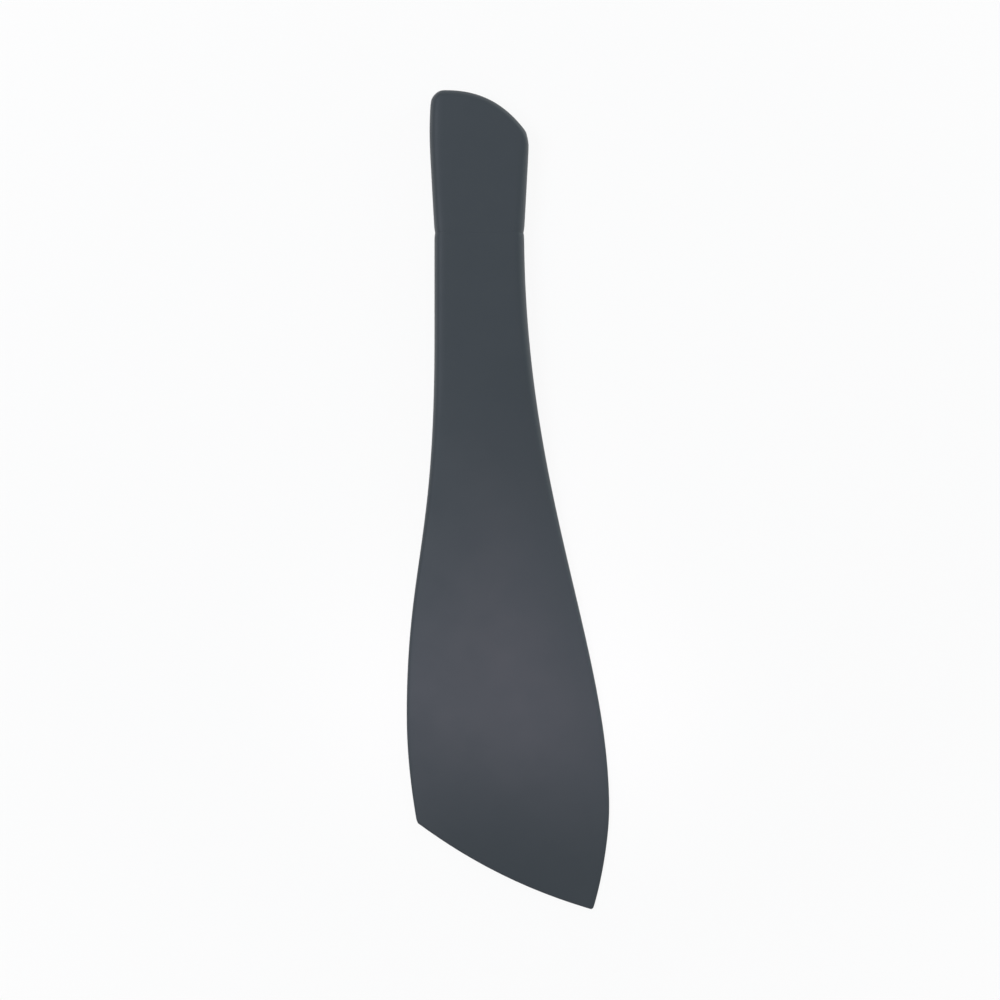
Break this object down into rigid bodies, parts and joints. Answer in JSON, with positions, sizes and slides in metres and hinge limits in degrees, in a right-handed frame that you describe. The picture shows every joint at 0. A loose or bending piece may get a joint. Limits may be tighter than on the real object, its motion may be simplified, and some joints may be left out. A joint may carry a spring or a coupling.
{
  "type": "silicone spatula",
  "caption": "Kitchen spatula with a slanted, thin-edged silicone blade that flares out of a flat grip, an end cap, and a stiff core inside.",
  "frame": {"origin": "on the plane of the flat back, under the middle of the outline", "axes": "+Y along the tool towards the handle end, +X across the blade towards its toe side, +Z out of the crowned front"},
  "size_m": [0.0646, 0.2602, 0.009],
  "materials": {
    "nylon_core": "moulded glass-filled nylon, satin",
    "silicone_body": "moulded silicone, soft matt",
    "silicone_cap": "moulded silicone, soft matt"
  },
  "bodies": {
    "handle": {"stiffening_core": "nylon_core", "silicone_sleeve": "silicone_body", "end_cap": "silicone_cap"},
    "lip": {"blade_lip": "silicone_body"}
  },
  "joints": [
    {"name": "lip_flex", "type": "hinge", "parent": "handle", "child": "lip", "pos_m": [0, -0.08235, 0.0026], "axis": [0.896, -0.444, 0], "range_deg": [-45, 45], "stiffness_Nm_per_rad": 0.1}
  ]
}
